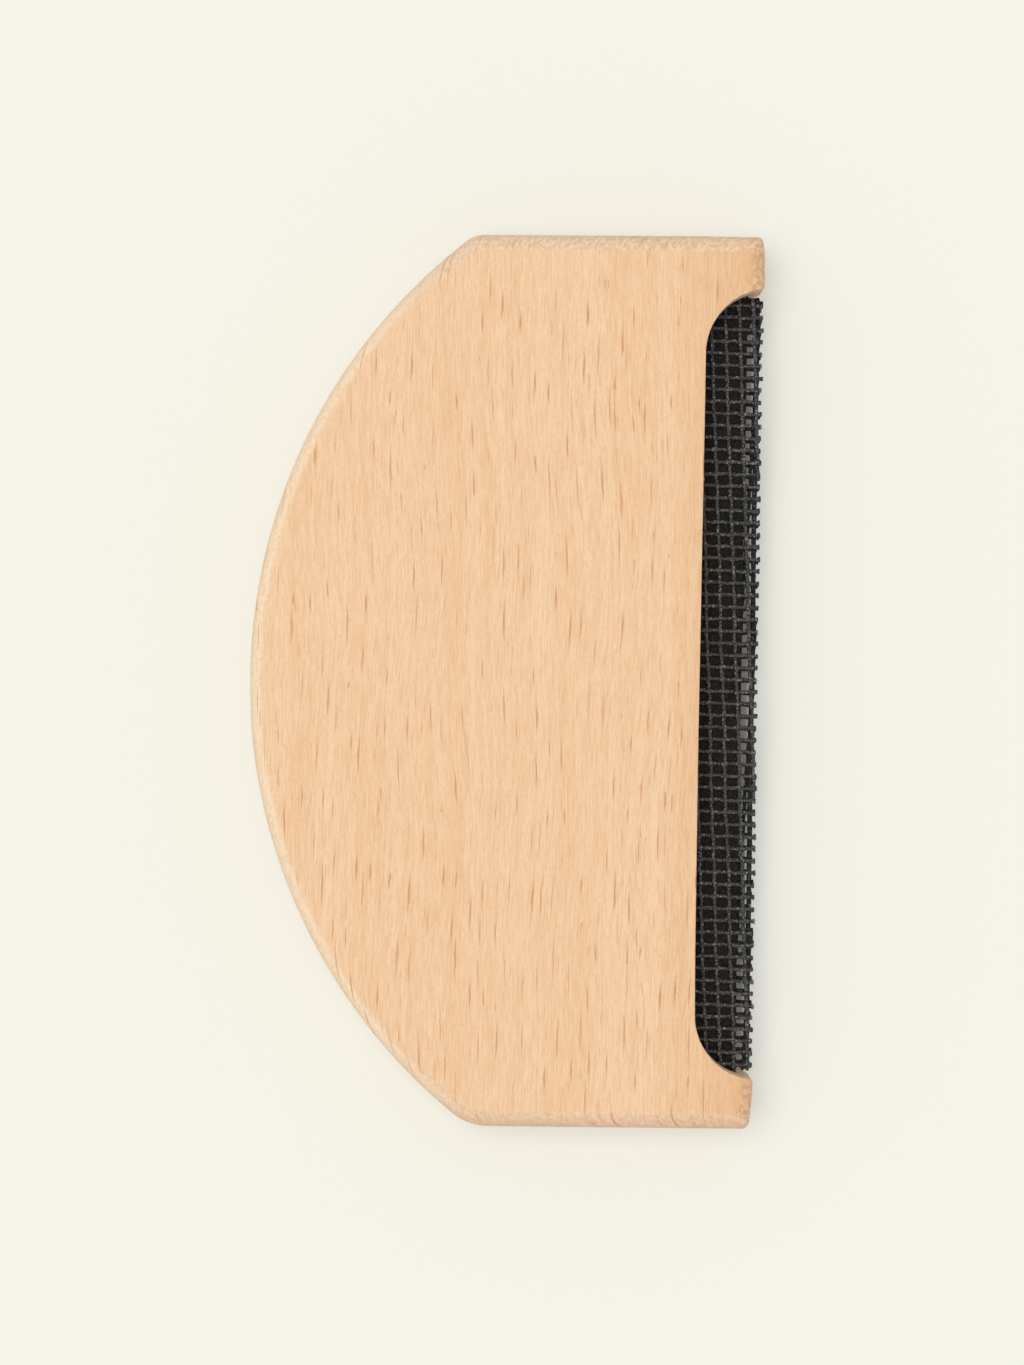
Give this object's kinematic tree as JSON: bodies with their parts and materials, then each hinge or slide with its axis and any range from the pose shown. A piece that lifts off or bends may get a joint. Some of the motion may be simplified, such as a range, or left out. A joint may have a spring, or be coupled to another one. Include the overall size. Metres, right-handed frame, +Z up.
{
  "type": "sweater comb",
  "caption": "Palm-sized D-shaped wooden comb for taking pills off knitwear, with a strip of black insect-screen mesh glued in a notch between two horns.",
  "frame": {"origin": "below the middle of the body's box, on the face that it lies on", "axes": "+X from the arched back to the horn tips and the mesh's edge, +Y along the grain and the length, +Z up through the thickness"},
  "size_m": [0.059, 0.1036, 0.012],
  "materials": {
    "beech": "fine-sanded, unvarnished beech, grain along the length, with a light satin hand",
    "coated_screen": "black vinyl-coated glass screen with a dull sheen and pale specks",
    "core_black": "dull black stiffening strip",
    "cured_glue": "cured wood adhesive, hidden in the groove"
  },
  "bodies": {
    "root": {"beech_body": "beech", "front_mesh": "coated_screen", "rear_mesh": "coated_screen", "core_strip": "core_black", "adhesive_bed": "cured_glue"}
  },
  "joints": []
}
